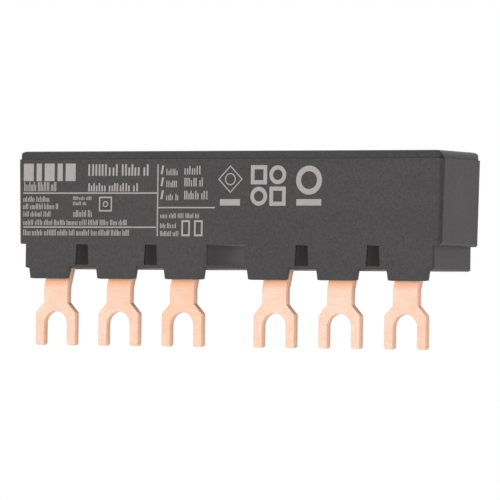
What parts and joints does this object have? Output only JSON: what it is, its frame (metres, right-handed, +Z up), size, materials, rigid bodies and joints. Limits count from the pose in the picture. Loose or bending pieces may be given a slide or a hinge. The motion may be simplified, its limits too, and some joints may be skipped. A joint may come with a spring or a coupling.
{
  "type": "comb busbar",
  "caption": "Comb busbar in a dark moulded housing with a fitted cover; flat copper fork tabs hang in one plane below insulating tongues to link neighbouring motor starters.",
  "frame": {"origin": "centre of the half-round slot root of the first fork, at the far left seen from the front, at half the copper's thickness", "axes": "+X along the row of forks from the first to the last, -Y towards the front face that carries the marking, +Z up, away from the fork tips"},
  "size_m": [0.0866, 0.0157, 0.0354],
  "materials": {
    "housing": "fine matt moulded texture, dark grey",
    "cover": "fine matt moulded texture, dark grey",
    "copper": null
  },
  "bodies": {
    "root": {"housing": "housing", "cover": "cover", "bar_l1": "copper", "bar_l2": "copper", "bar_l3": "copper"}
  },
  "joints": []
}
